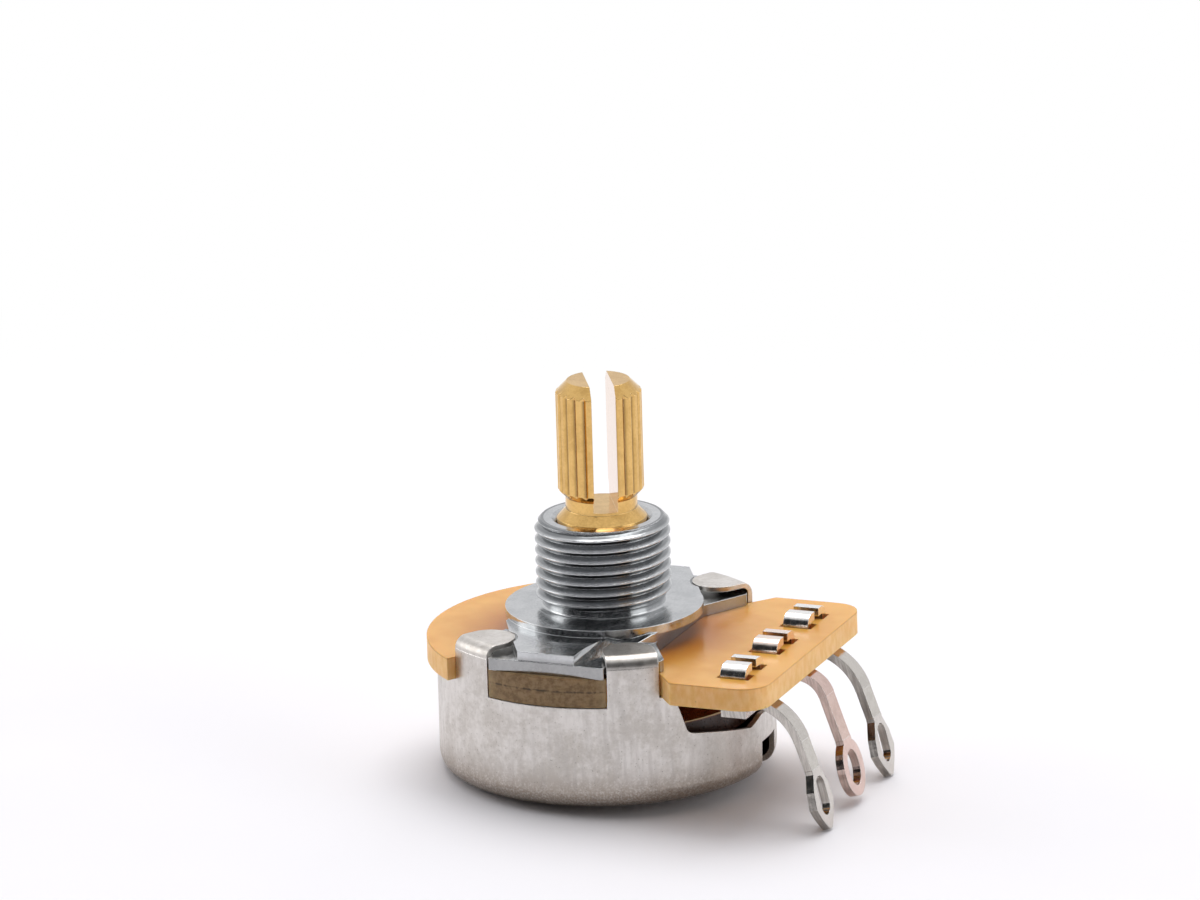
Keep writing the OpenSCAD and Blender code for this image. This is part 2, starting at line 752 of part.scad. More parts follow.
// Outline of the wafer: a round end, a square terminal end and a tongue between each pair of tabs
module wafer_outline() {
    waist_r = cover_in - wafer_fit;
    half_angle = asin(tab_w / 2 / cover_r);
    shoulder_x = cover_r - shoulder_inset;
    beside_tab = polar(waist_r, tab_angle - half_angle - 1);
    shoulder = beside_tab + 0.1 * (beside_tab - [shoulder_x, tail_y]);
    apex = [-(tab_w / 2 + wafer_fit) / sin(tab_angle), 0];
    circle(waist_r);
    intersection() {
        circle(wafer_r);
        polygon([apex, apex + polar(2 * wafer_r, 180 - tab_angle), [-2 * wafer_r, 2 * wafer_r],
                 [-2 * wafer_r, -2 * wafer_r], apex + polar(2 * wafer_r, 180 + tab_angle)]);
    }
    tongue_outline();
    polygon(rounded([[0, -shoulder[1]], [shoulder[0], -shoulder[1]], [shoulder_x, -tail_y], [tail_x, -tail_y],
                     [tail_x, tail_y], [shoulder_x, tail_y], shoulder, [0, shoulder[1]]],
                    [0, 0, 0.3, tail_corner, tail_corner, 0.3, 0, 0]));
}

// Phenolic wafer with the shaft hole, a lipped tongue on each side and slots for the prongs
module wafer() {
    lip_y = tongue_r - tongue_lip;
    slot = strip_t + prong_fit + slot_back;
    color([0.87, 0.62, 0.30]) {
        translate([0, 0, wafer_bottom])
            difference() {
                linear_extrude(wafer_t)
                    wafer_outline();
                translate([0, 0, -cut])
                    cylinder(d = wafer_bore, h = wafer_t + 2 * cut);
                for (row = [-1 : 1], side = [-1, 1])
                    translate([prong_x,
                               row * terminal_pitch + prong_shift + side * (prong_y + prong_fit - slot / 2),
                               wafer_t / 2])
                        cube([prong_w + 2 * slot_end, slot, wafer_t + 2 * cut], center = true);
            }
        translate([0, 0, wafer_bottom - tongue_drop])
            linear_extrude(tongue_drop)
                difference() {
                    tongue_outline();
                    square([2 * cover_r, 2 * lip_y], center = true);
                }
    }
}

// Carbon track printed under the wafer
module resistive_track() {
    color([0.12, 0.12, 0.13])
        translate([0, 0, print_bottom])
            sector(track_in, track_out, track_end, 360 - track_end, print_t);
}

// Silver pad printed at one end of the track
module silver_pad(from, to) {
    color([0.78, 0.78, 0.80])
        translate([0, 0, print_bottom])
            sector(track_in, track_out, from, to, print_t);
}

// Bar under the strip with two prongs that pass through the wafer and fold over it towards each other
module prongs() {
    flat_y = prong_y - prong_h;
    bar_z = strip_bottom - strip_t;
    translate([prong_x, prong_shift, 0]) {
        translate([-prong_w / 2, -prong_y, bar_z])
            cube([prong_w, 2 * prong_y, strip_t]);
        for (side = [0, 180])
            rotate([0, 0, side]) {
                translate([-prong_w / 2, prong_y - strip_t, bar_z])
                    cube([prong_w, strip_t, wafer_top - bar_z]);
                translate([0, prong_y, wafer_top])
                    rotate([0, 0, 90])
                        quarter_bend(prong_h, strip_t, prong_w);
                translate([-prong_w / 2, prong_gap / 2, wafer_top + prong_h - strip_t])
                    cube([prong_w, flat_y - prong_gap / 2, strip_t]);
            }
    }
}

// A strip that runs out under the wafer from x0, bends down at bend_x and carries a lug
module bent_strip(x0, bend_x, bend_r, slope, leg) {
    end_x = bend_x + bend_r * sin(slope);
    end_z = print_bottom - bend_r * (1 - cos(slope));
    translate([x0, -strip_w / 2, strip_bottom])
        cube([bend_x - x0, strip_w, strip_t]);
    translate([bend_x, 0, print_bottom - bend_r])
        rotate([-90, -90, 0])
            rotate_extrude(angle = slope)
                translate([bend_r - strip_t, -strip_w / 2])
                    square([strip_t, strip_w]);
    translate([end_x, 0, end_z])
        rotate([0, slope, 0]) {
            translate([-leg_lap, leg_draw - strip_w / 2, leg_draw - strip_t])
                cube([leg + leg_lap, strip_w - 2 * leg_draw, strip_t - 2 * leg_draw]);
            translate([leg, 0, 0])
                rotate([0, lug_slope - slope, 0])
                    translate([0, 0, -strip_t])
                        linear_extrude(strip_t)
                            children();
        }
}

// Solder lug of an end terminal: six-sided, with a slotted eye and a small nib at its tip
module end_lug() {
    w = strip_w / 2;
    eye_r = eye_w / 2;
    nib = 0.28;
    shoulder = lug_len - 0.15;
    shape = [[-0.1, w], [0.2, w], [eye_at - 0.6, 0.86 * lug_half_w], [eye_at + 0.6, lug_half_w],
             [shoulder - 0.9, 0.72 * lug_half_w], [shoulder, nib + 0.12], [shoulder, nib],
             [lug_len, nib]];
    mirrored = [for (i = [len(shape) - 1 : -1 : 0]) [shape[i][0], -shape[i][1]]];
    difference() {
        polygon(concat(shape, mirrored));
        for (x = [-1, 1])
            translate([eye_at + x * (eye_len / 2 - eye_r), 0])
                circle(eye_r, $fn = 48);
        translate([eye_at, 0])
            square([eye_len - eye_w, eye_w], center = true);
    }
}

// Solder lug of the middle terminal: an oval ring
module oval_lug() {
    outer = [for (i = [0 : 35]) [oval_len / 2 * (1 - cos(i * 10)), oval_half_w * sin(i * 10)]];
    inner = [for (i = [0 : 35]) [oval_len / 2 - (oval_len / 2 - oval_rim) * cos(i * 10),
                                 (oval_half_w - oval_rim) * sin(i * 10)]];
    difference() {
        union() {
            polygon(outer);
            translate([-0.1, -strip_w / 2])
                square([0.5, strip_w]);
        }
        polygon(inner);
    }
}

// End terminal: contact pad on the silver print, two prongs, bent leg and solder lug
module end_terminal(side) {
    color([0.74, 0.73, 0.70])
        translate([0, side * terminal_pitch, 0]) {
            translate([end_pad_x, 0, strip_bottom])
                cylinder(r = end_pad_r, h = strip_t);
            prongs();
            bent_strip(end_pad_x, end_bend_x, end_bend_r, end_slope, end_leg)
                end_lug();
        }
}

// Middle terminal: stamped in one piece with the collector ring
module middle_terminal() {
    color([0.80, 0.62, 0.55]) {
        translate([0, 0, strip_bottom])
            ring(collector_in, collector_out, strip_t);
        prongs();
        bent_strip(collector_out - 0.2, middle_bend_x, middle_bend_r, end_slope, middle_leg)
            oval_lug();
    }
}

// Moulded rotor: disc, hub, two spring pegs and the lug that meets the stop
module rotor() {
    lug_bottom = back_z + cover_t + stop_lug_gap;
    color([0.38, 0.22, 0.12])
        difference() {
            union() {
                translate([0, 0, rotor_bottom])
                    cylinder(r = rotor_r, h = rotor_t);
                translate([0, 0, hub_bottom])
                    cylinder(d = hub_d, h = hub_t + rotor_t / 2);
                translate([0, 0, lug_bottom])
                    sector(lug_out - stop_lug_len, lug_out, 180 + stop_angle - lug_half_angle,
                           180 + stop_angle + lug_half_angle, rotor_bottom - lug_bottom + rotor_t / 2);
                spring_pegs(peg_r, peg_rise + spring_t + rotor_t / 2);
            }
            flatted_tenon(tenon_fit, cut);
        }
}

// Two upright pegs beside the shaft, starting inside the rotor disc
module spring_pegs(r, h) {
    for (a = [-115, 115])
        rotate([0, 0, a])
            translate([(spring_in + spring_out) / 2, 0, rotor_top - rotor_t / 2])
                cylinder(r = r, h = h, $fn = 48);
}

// Side view of a spring finger: it rises from the origin to its touching crest, then dips
module finger_profile(reach, rise) {
    middle = spring_t / 2;
    polygon(sheet([[-0.4, middle], [0, middle], [reach - 0.15, rise - middle],
                   [reach + 0.15, rise - middle], [reach + 0.5, rise - 0.35]], spring_t));
}

// Stamped contact spring: a ring on the rotor, two track fingers and two collector fingers
module contact_spring() {
    track_rise = print_bottom - touch_gap - rotor_top;
    collector_rise = strip_bottom - touch_gap - rotor_top;
    collector_r = (collector_in + collector_out) / 2;
    finger_run = 2.6;
    color([0.78, 0.56, 0.34])
        difference() {
            translate([0, 0, rotor_top]) {
                ring(spring_in, spring_out, spring_t);
                for (side = [-1, 1])
                    translate([-spring_out + 0.3, side * (finger_w + finger_gap) / 2, 0])
                        rotate([90, 0, 180])
                            linear_extrude(finger_w, center = true)
                                finger_profile(track_touch_r - spring_out + 0.3, track_rise);
                for (side = [-1, 1])
                    rotate([0, 0, side * collector_finger_angle])
                        mirror([0, side < 0 ? 1 : 0, 0])
                            translate([collector_r, -finger_run, 0])
                                rotate([90, 0, 90])
                                    linear_extrude(collector_finger_w, center = true)
                                        finger_profile(finger_run, collector_rise);
            }
            translate([0, 0, -rotor_t / 2])
                spring_pegs(peg_r + tenon_fit, rotor_t * 2);
        }
}

cover();
bushing_plate();
shaft();
retaining_clip();
wafer();
resistive_track();
silver_pad(-track_end, -silver_end);  // silver_pad_front
silver_pad(silver_end, track_end);  // silver_pad_rear
end_terminal(-1);  // terminal_front
middle_terminal();  // terminal_middle
end_terminal(1);  // terminal_rear
rotor();
contact_spring();
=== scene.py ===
"""Looks of a panel-mount rotary potentiometer: finishes, thread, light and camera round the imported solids."""

import math

import bmesh
import bpy
import numpy as np
from mathutils import Matrix


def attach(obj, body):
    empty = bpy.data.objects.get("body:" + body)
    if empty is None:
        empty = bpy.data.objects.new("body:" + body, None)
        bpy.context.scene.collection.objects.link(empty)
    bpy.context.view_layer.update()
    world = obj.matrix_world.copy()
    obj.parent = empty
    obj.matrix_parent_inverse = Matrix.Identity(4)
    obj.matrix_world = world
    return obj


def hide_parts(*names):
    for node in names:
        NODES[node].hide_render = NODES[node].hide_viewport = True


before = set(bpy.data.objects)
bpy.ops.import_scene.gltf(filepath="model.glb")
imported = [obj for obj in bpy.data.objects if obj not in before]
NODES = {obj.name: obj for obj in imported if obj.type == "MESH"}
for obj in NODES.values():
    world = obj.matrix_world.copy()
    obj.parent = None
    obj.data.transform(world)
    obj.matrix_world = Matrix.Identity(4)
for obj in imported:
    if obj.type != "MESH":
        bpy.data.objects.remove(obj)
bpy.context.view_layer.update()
MM = 0.001

# Sizes and heights of the part are in millimetres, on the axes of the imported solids.

# Right-handed thread of the bushing; CREST_PHASE_Z is the height of a crest on the +X side
CREST_R = 4.7625
THREAD_PITCH = 0.79375
THREAD_DEPTH = 0.46
ROOT_R = CREST_R - THREAD_DEPTH
THREAD_START_Z = 0.72
CREST_PHASE_Z = 1.0 + THREAD_PITCH * 80.6 / 360
ROOT_FLAT = 0.05
FLANK_SHARE = 0.83
CREST_EASE = 0.10
FADE_BELOW_START = 0.25
FADE_LENGTH = 0.35

# Barrel that carries the thread, from its foot at the seat to its chamfered rim
BARREL_H = 6.35
RIM_R = 4.3125
FOOT_FILLET = 0.2
FOOT_RING_R = CREST_R + 0.06
FOOT_Z = -0.02
THREAD_ROWS, THREAD_COLUMNS = 320, 216
SHARP_EDGE = math.radians(32)
DOUBLES_APART = 2e-7

# Direction, half width and floor of the slot in the shaft's tip
SLOT_ANGLE = math.radians(-61)
SLOT_HALF = 0.85
SLOT_FLOOR = 7.2

# Splined part of the shaft
SPLINE_R = 3.015
SPLINE_FOOT = 8.4
SPLINE_HEAD = 15.4

# Direction of the terminals' legs: mostly down, a little out
LEG_DOWN = 0.970
LEG_OUT = 0.242

# Heights at which painted shade, brown and dark, starts on the cover's wall and is full: the floor's contact shadow
# reflected in the tin
COVER_SHADE_FROM_Z = -8.2
COVER_SHADE_FULL_Z = -11.3

# The wafer: its upper face, and its tongues in the cover's notches with the seam halfway down them
WAFER_TOP = -2.0
TONGUE_HALF = 4.7
TONGUE_FROM_Y = 11.0
TONGUE_SEAM = 2.95

# Height of the rotor's upper face, and its radius
ROTOR_TOP = -6.0
ROTOR_R = 10.8

# The photograph in pixels, where the part's origin falls in it, and the camera that was fitted to it
PHOTO_WIDTH, PHOTO_HEIGHT = 1200, 900
ORIGIN_PX = (604.401, 601.659)
FOCAL_PX = 9000.0
AZIMUTH, ELEVATION, ROLL = map(math.radians, (22.118, 16.087, -1.654))
DISTANCE = 632.611 * MM
SENSOR_WIDTH = 36

# Direction in which the paper goes white behind the part and the room goes dark in front of it
ROOM_TURN = math.radians(22.1)
FLOOR_HALF = 2.5

# --- node trees ---


class Tree:
    """A node tree with short words for adding, setting and joining its nodes."""

    def __init__(self, tree):
        self.tree = tree

    def add(self, kind, inputs=None, **settings):
        """A new node; each of its inputs is a constant or another node's output."""
        node = self.tree.nodes.new(kind)
        for name, value in settings.items():
            setattr(node, name, value)
        for name, value in (inputs or {}).items():
            self.set(node, name, value)
        return node

    def set(self, node, name, value):
        """Gives an input a constant, or joins it to an output."""
        socket = node.inputs[name]
        if isinstance(value, bpy.types.NodeSocket):
            self.tree.links.new(value, socket)
        else:
            socket.default_value = value

    def math(self, operation, a, b=0.0, clamp=False):
        return self.add("ShaderNodeMath", {0: a, 1: b}, operation=operation, use_clamp=clamp).outputs[0]

    def times(self, a, b):
        return self.math("MULTIPLY", a, b)

    def plus(self, a, b):
        return self.math("ADD", a, b)

    def minus(self, a, b):
        return self.math("SUBTRACT", a, b)

    def larger(self, a, b):
        return self.math("MAXIMUM", a, b)

    def over(self, a, b):
        """1 where a is greater than b, 0 elsewhere."""
        return self.math("GREATER_THAN", a, b)

    def under(self, a, b):
        """1 where a is less than b, 0 elsewhere."""
        return self.math("LESS_THAN", a, b)

    def size(self, a):
        """The value without its sign."""
        return self.math("ABSOLUTE", a)

    def between(self, value, low, high, out_low=0.0, out_high=1.0):
        """Maps value smoothly from low..high to out_low..out_high."""
        node = self.add(
            "ShaderNodeMapRange",
            {"Value": value, "From Min": low, "From Max": high, "To Min": out_low, "To Max": out_high},
            interpolation_type="SMOOTHSTEP",
        )
        return node.outputs["Result"]

    def mix(self, factor, a, b):
        """Colour a where factor is 0, colour b where it is 1."""
        return self.add("ShaderNodeMix", {0: factor, 6: a, 7: b}, data_type="RGBA").outputs[2]

    def noise(self, vector, scale, detail=3.0, roughness=0.55):
        inputs = {"Vector": vector, "Scale": scale, "Detail": detail, "Roughness": roughness}
        return self.add("ShaderNodeTexNoise", inputs).outputs["Fac"]

    def vector(self, x, y, z):
        return self.add("ShaderNodeCombineXYZ", {"X": x, "Y": y, "Z": z}).outputs[0]

    def split(self, vector):
        """The x, y and z of a vector."""
        parts = self.add("ShaderNodeSeparateXYZ", {0: vector}).outputs
        return parts["X"], parts["Y"], parts["Z"]

    def place(self):
        """Object coordinates in millimetres: the vector and its x, y and z."""
        coords = self.add("ShaderNodeTexCoord").outputs["Object"]
        scaled = self.add("ShaderNodeVectorMath", {0: coords, 1: (1000, 1000, 1000)}, operation="MULTIPLY").outputs[0]
        return scaled, *self.split(scaled)

    def from_axis(self, x, y):
        """Distance from the shaft's axis."""
        flat = self.vector(x, y, 0.0)
        return self.add("ShaderNodeVectorMath", {0: flat}, operation="LENGTH").outputs["Value"]

    def normal(self):
        """The x, y and z of the surface's normal."""
        return self.split(self.add("ShaderNodeNewGeometry").outputs["Normal"])

    def upright(self):
        """1 on walls, to within 30 degrees, and 0 on what faces up or down."""
        _, _, z = self.normal()
        return self.under(self.size(z), 0.5)


def rgb(r, g, b):
    return (r, g, b, 1.0)


FLOAT, COLOUR, VECTOR = "NodeSocketFloat", "NodeSocketColor", "NodeSocketVector"


def effect(name, inputs, outputs):
    """An empty shader node group with named inputs and outputs: its tree, the group and its two end nodes."""
    group = bpy.data.node_groups.new(name, "ShaderNodeTree")
    for label, kind, value in inputs:
        socket = group.interface.new_socket(label, in_out="INPUT", socket_type=kind)
        if value is not None:
            socket.default_value = value
    for label, kind in outputs:
        group.interface.new_socket(label, in_out="OUTPUT", socket_type=kind)
    tree = Tree(group)
    return tree, group, tree.add("NodeGroupInput").outputs, tree.add("NodeGroupOutput")


def tarnish_effect():
    """Metal gone dull in clouds and fine grains: two noises together mix its clean colour with its stained one."""
    tree, group, given, made = effect(
        "tarnish",
        [("Vector", VECTOR, None), ("Clean", COLOUR, None), ("Stained", COLOUR, None),
         ("Cloud Scale", FLOAT, 0.5), ("Grain Scale", FLOAT, 8.0), ("Amount", FLOAT, 0.5)],
        [("Color", COLOUR), ("Stain", FLOAT), ("Grain", FLOAT)],
    )
    clouds = tree.noise(given["Vector"], given["Cloud Scale"], 4.0, 0.6)
    grains = tree.noise(given["Vector"], given["Grain Scale"], 3.0, 0.65)
    both = tree.plus(tree.times(clouds, 0.6), tree.times(grains, 0.4))
    stain = tree.times(tree.between(both, 0.38, 0.62), given["Amount"])
    tree.set(made, "Color", tree.mix(stain, given["Clean"], given["Stained"]))
    tree.set(made, "Stain", stain)
    tree.set(made, "Grain", grains)
    return group


def pit_effect():
    """Small pits: a round spot at each point of a scattered pattern, kept where its random colour is below Share."""
    tree, group, given, made = effect(
        "pits",
        [("Vector", VECTOR, None), ("Scale", FLOAT, 5.0), ("Size", FLOAT, 0.18), ("Share", FLOAT, 0.5)],
        [("Pit", FLOAT)],
    )
    cells = tree.add("ShaderNodeTexVoronoi", {"Vector": given["Vector"], "Scale": given["Scale"]}, feature="F1")
    spot = tree.between(cells.outputs["Distance"], given["Size"], 0.0)
    draw = tree.add("ShaderNodeSeparateColor", {0: cells.outputs["Color"]}).outputs[0]
    tree.set(made, "Pit", tree.times(spot, tree.under(draw, given["Share"])))
    return group


def edge_effect():
    """How near a point is to an edge: 1 less the likeness of the true normal and one rounded over a radius."""
    tree, group, given, made = effect(
        "edge wear and highlight",
        [("Radius", FLOAT, 0.00008), ("Gain", FLOAT, 3.0)],
        [("Edge", FLOAT), ("Normal", VECTOR)],
    )
    rounded = tree.add("ShaderNodeBevel", {"Radius": given["Radius"]}, samples=6).outputs[0]
    true = tree.add("ShaderNodeNewGeometry").outputs["Normal"]
    alike = tree.add("ShaderNodeVectorMath", {0: rounded, 1: true}, operation="DOT_PRODUCT").outputs["Value"]
    tree.set(made, "Edge", tree.math("MULTIPLY", tree.minus(1.0, alike), given["Gain"], clamp=True))
    tree.set(made, "Normal", rounded)
    return group


def turning_effect():
    """Fine rings left by a lathe: noise that changes with radius and height only, so each ring runs round the axis."""
    tree, group, given, made = effect(
        "turning marks",
        [("Vector", VECTOR, None), ("Scale", FLOAT, 6.0)],
        [("Ring", FLOAT)],
    )
    x, y, z = tree.split(given["Vector"])
    path = tree.vector(tree.from_axis(x, y), 0.0, z)
    tree.set(made, "Ring", tree.noise(path, given["Scale"], 5.0, 0.7))
    return group


TARNISH, PITS, EDGE_WEAR_AND_HIGHLIGHT, TURNING = tarnish_effect(), pit_effect(), edge_effect(), turning_effect()


def finish_of(name, **constants):
    """A new material with a Principled shader whose constant sockets are set; returns the tree, shader and material."""
    material = bpy.data.materials.new(name)
    material.use_nodes = True
    shader = material.node_tree.nodes["Principled BSDF"]
    for socket, value in constants.items():
        shader.inputs[socket.replace("_", " ")].default_value = value
    return Tree(material.node_tree), shader, material


def placed_effect(tree, group, **values):
    """Places an effect in a material, with its own values; underscores in their names stand for spaces."""
    node = tree.add("ShaderNodeGroup", node_tree=group)
    for name, value in values.items():
        tree.set(node, name.replace("_", " "), value)
    return node.outputs


def edge_wear_and_highlight(tree, radius, gain):
    """Nearness to an edge over a radius in millimetres: the mask, which marks worn edges and painted edge highlights,
    and the rounded normal.
    """
    edge = placed_effect(tree, EDGE_WEAR_AND_HIGHLIGHT, Radius=radius * MM, Gain=gain)
    return edge["Edge"], edge["Normal"]


def roughen(tree, shader, height, distance, normal=None):
    """Puts a height pattern, in millimetres of distance, into the shader's normal."""
    bump = tree.add("ShaderNodeBump", {"Strength": 1.0, "Distance": distance * MM, "Height": height})
    if normal is not None:
        tree.set(bump, "Normal", normal)
    tree.set(shader, "Normal", bump.outputs[0])


# --- finishes ---


def tinned_sheet():
    """Drawn steel with a dull, mottled tin coat: warm grey, with painted shade making it browner near the back, with
    streaks and dark specks.
    """
    tree, shader, material = finish_of("tinned sheet", Metallic=1.0)
    place, x, y, z = tree.place()
    coat = placed_effect(tree, TARNISH, Vector=place, Clean=rgb(0.70, 0.67, 0.635), Stained=rgb(0.47, 0.435, 0.39),
                         Cloud_Scale=0.40, Grain_Scale=2.4, Amount=0.75)
    drawn = tree.noise(tree.vector(tree.times(x, 3.2), tree.times(y, 3.2), tree.times(z, 0.35)), 1.0, 4.0, 0.65)
    fine = tree.noise(place, 7.0, 4.0, 0.6)
    grey = tree.mix(tree.between(drawn, 0.42, 0.66, 0.0, 0.5), coat["Color"], rgb(0.58, 0.55, 0.515))
    pale = tree.mix(tree.between(fine, 0.40, 0.70, 0.0, 0.18), grey, rgb(0.76, 0.74, 0.71))
    # Painted shade: towards its foot the wall darkens to brown in blotches, standing for the floor's contact shadow
    # reflected in it
    foot = tree.between(z, COVER_SHADE_FROM_Z, COVER_SHADE_FULL_Z, 0.0, 0.95)
    brown = tree.mix(tree.times(foot, tree.between(fine, 0.25, 0.6)), pale, rgb(0.33, 0.265, 0.21))
    specks = placed_effect(tree, PITS, Vector=place, Scale=4.6, Size=0.24, Share=0.45)["Pit"]
    spots = placed_effect(tree, PITS, Vector=place, Scale=2.1, Size=0.14, Share=0.45)["Pit"]
    dots = tree.larger(specks, spots)
    depth = tree.between(coat["Grain"], 0.35, 0.6, 0.20, 0.90)
    pitted = tree.mix(tree.times(dots, depth), brown, rgb(0.17, 0.145, 0.12))
    edge, rounded = edge_wear_and_highlight(tree, 0.09, 3.0)
    # Edges whitened: worn edges, and a painted edge highlight
    tree.set(shader, "Base Color", tree.mix(edge, pitted, rgb(0.93, 0.91, 0.88)))
    rough = tree.between(drawn, 0.3, 0.7, 0.30, 0.42)
    tree.set(shader, "Roughness", tree.minus(rough, tree.times(edge, 0.14)))
    height = tree.minus(tree.plus(tree.times(fine, 0.6), coat["Stain"]), tree.times(dots, 0.5))
    roughen(tree, shader, height, 0.0013, rounded)
    return material


def cast_zinc():
    """Die-cast zinc: cool satin grey with soft flow marks, painted shade in the thread grooves and on the plate's sides
    under the flange, and edges whitened by wear and a painted highlight.
    """
    tree, shader, material = finish_of("cast zinc", Metallic=1.0)
    place, x, y, z = tree.place()
    coat = placed_effect(tree, TARNISH, Vector=place, Clean=rgb(0.60, 0.61, 0.615), Stained=rgb(0.35, 0.365, 0.375),
                         Cloud_Scale=0.45, Grain_Scale=6.0, Amount=0.5)
    edge, rounded = edge_wear_and_highlight(tree, 0.07, 3.2)
    radius = tree.from_axis(x, y)
    # Painted shade: the thread's grooves darken towards their roots
    groove = tree.times(tree.between(radius, CREST_R - 0.05, CREST_R - 0.22, 0.0, 0.72), tree.between(z, 0.25, 0.7))
    on_thread = tree.over(radius, RIM_R - 0.2)
    zinc_with_painted_shade = tree.mix(tree.times(groove, on_thread), coat["Color"], rgb(0.15, 0.16, 0.165))
    # Painted shade: the plate's walls just under the flange are darkened
    plate_side = tree.times(tree.upright(), tree.between(z, -0.7, -1.2, 0.0, 0.55))
    zinc_with_painted_shade = tree.mix(plate_side, zinc_with_painted_shade, rgb(0.22, 0.215, 0.205))
    # Edges whitened: worn edges, and a painted edge highlight
    tree.set(shader, "Base Color", tree.mix(edge, zinc_with_painted_shade, rgb(0.90, 0.91, 0.92)))
    streaks = tree.noise(tree.vector(x, tree.times(y, 0.25), z), 4.0, 4.0, 0.65)
    tree.set(shader, "Roughness", tree.between(streaks, 0.3, 0.7, 0.11, 0.27))
    roughen(tree, shader, tree.plus(coat["Grain"], tree.times(streaks, 0.5)), 0.0012, rounded)
    return material


def turned_brass():
    """Bright turned brass with lathe rings, a paler sawn slot and painted shade in the roots between its splines."""
    tree, shader, material = finish_of("turned brass", Metallic=1.0)
    place, x, y, z = tree.place()
    ring = placed_effect(tree, TURNING, Vector=place, Scale=7.0)["Ring"]
    coat = placed_effect(tree, TARNISH, Vector=place, Clean=rgb(0.79, 0.505, 0.18), Stained=rgb(0.60, 0.36, 0.11),
                         Cloud_Scale=0.9, Grain_Scale=6.0, Amount=0.7)
    splined = tree.times(tree.over(z, SPLINE_FOOT), tree.under(z, SPLINE_HEAD))
    root = tree.times(tree.between(tree.from_axis(x, y), SPLINE_R - 0.06, SPLINE_R - 0.24, 0.0, 0.9), splined)
    across = tree.plus(tree.times(x, -math.sin(SLOT_ANGLE)), tree.times(y, math.cos(SLOT_ANGLE)))
    in_slot = tree.times(tree.under(tree.size(across), SLOT_HALF + 0.004), tree.over(z, SLOT_FLOOR + 0.02))
    saw_marks = tree.noise(tree.vector(x, y, tree.times(z, 8.0)), 1.6, 4.0)
    sawn = tree.mix(saw_marks, rgb(0.93, 0.74, 0.64), rgb(0.80, 0.58, 0.44))
    edge, rounded = edge_wear_and_highlight(tree, 0.04, 3.0)
    # Painted shade: the roots between the splines are darkened
    dark = tree.mix(root, coat["Color"], rgb(0.20, 0.11, 0.035))
    # Edges whitened: worn edges, and a painted edge highlight
    worn_and_highlit = tree.mix(edge, dark, rgb(0.95, 0.78, 0.50))
    tree.set(shader, "Base Color", tree.mix(in_slot, worn_and_highlit, sawn))
    tree.set(shader, "Roughness", tree.between(ring, 0.3, 0.7, 0.08, 0.19))
    roughen(tree, shader, ring, 0.0018, rounded)
    return material


def phenolic_sheet():
    """Amber phenolic sheet: a glossy pressed face browned round the bushing by painted shade, a paler speckled cut edge
    with a painted shadow line under its top, and tongues where notched, turned dark brown by painted shade.
    """
    tree, shader, material = finish_of(
        "phenolic sheet", Metallic=0.0, Subsurface_Weight=0.3, Subsurface_Scale=0.0008,
        Subsurface_Radius=(1.0, 0.45, 0.15), IOR=1.48, Specular_IOR_Level=0.4,
    )
    place, x, y, z = tree.place()

    # The upper face, with painted shade making it browner round the bushing, under the plate and flange
    cloud = tree.noise(place, 0.30, 3.0, 0.5)
    amber = tree.mix(tree.between(cloud, 0.35, 0.65), rgb(0.75, 0.355, 0.060), rgb(0.82, 0.42, 0.085))
    near_axis = tree.between(tree.from_axis(x, y), 6.5, 12.0, 0.9, 0.0)
    face = tree.mix(near_axis, amber, rgb(0.42, 0.12, 0.004))

    # The cut edge, with crumbs in its lower part and a painted shadow line under its upper corner
    speck = tree.noise(tree.vector(x, y, tree.times(z, 0.45)), 2.0, 4.0, 0.62)
    cut = tree.mix(tree.between(speck, 0.30, 0.70), rgb(0.86, 0.485, 0.145), rgb(0.94, 0.59, 0.25))
    crumbs = placed_effect(tree, PITS, Vector=place, Scale=2.4, Size=0.20, Share=0.22)["Pit"]
    low = tree.between(z, WAFER_TOP - 0.5, WAFER_TOP - 1.5, 0.15, 0.8)
    cut = tree.mix(tree.times(crumbs, low), cut, rgb(0.34, 0.17, 0.06))
    cut = tree.mix(tree.between(z, WAFER_TOP - 0.13, WAFER_TOP - 0.03, 0.0, 0.55), cut, rgb(0.50, 0.23, 0.06))

    # The tongues, darkened brown by painted shade under the plate's nose that lightens towards their ends, and with a
    # dark seam
    tongue = tree.times(tree.under(tree.size(x), TONGUE_HALF), tree.over(tree.size(y), TONGUE_FROM_Y))
    mottle = tree.noise(place, 2.2, 5.0, 0.72)
    tongue_shaded = tree.mix(tree.between(mottle, 0.36, 0.64), rgb(0.33, 0.215, 0.105), rgb(0.19, 0.115, 0.05))
    tongue_shaded = tree.mix(tree.between(tree.size(x), 3.4, 4.6, 0.0, 0.45), tongue_shaded, rgb(0.46, 0.33, 0.17))
    from_seam = tree.size(tree.plus(z, TONGUE_SEAM))
    seam = tree.times(tree.between(from_seam, 0.10, 0.02), tree.between(mottle, 0.40, 0.56, 0.2, 0.85))
    tongue_shaded = tree.mix(seam, tongue_shaded, rgb(0.05, 0.035, 0.02))

    wall = tree.upright()
    tree.set(shader, "Base Color", tree.mix(tongue, tree.mix(wall, face, cut), tongue_shaded))
    rough = tree.plus(0.22, tree.times(wall, 0.30))
    tree.set(shader, "Roughness", tree.larger(rough, tree.times(tongue, 0.55)))
    _, rounded = edge_wear_and_highlight(tree, 0.13, 2.0)
    roughen(tree, shader, tree.times(tree.plus(wall, 0.015), speck), 0.03, rounded)
    return material


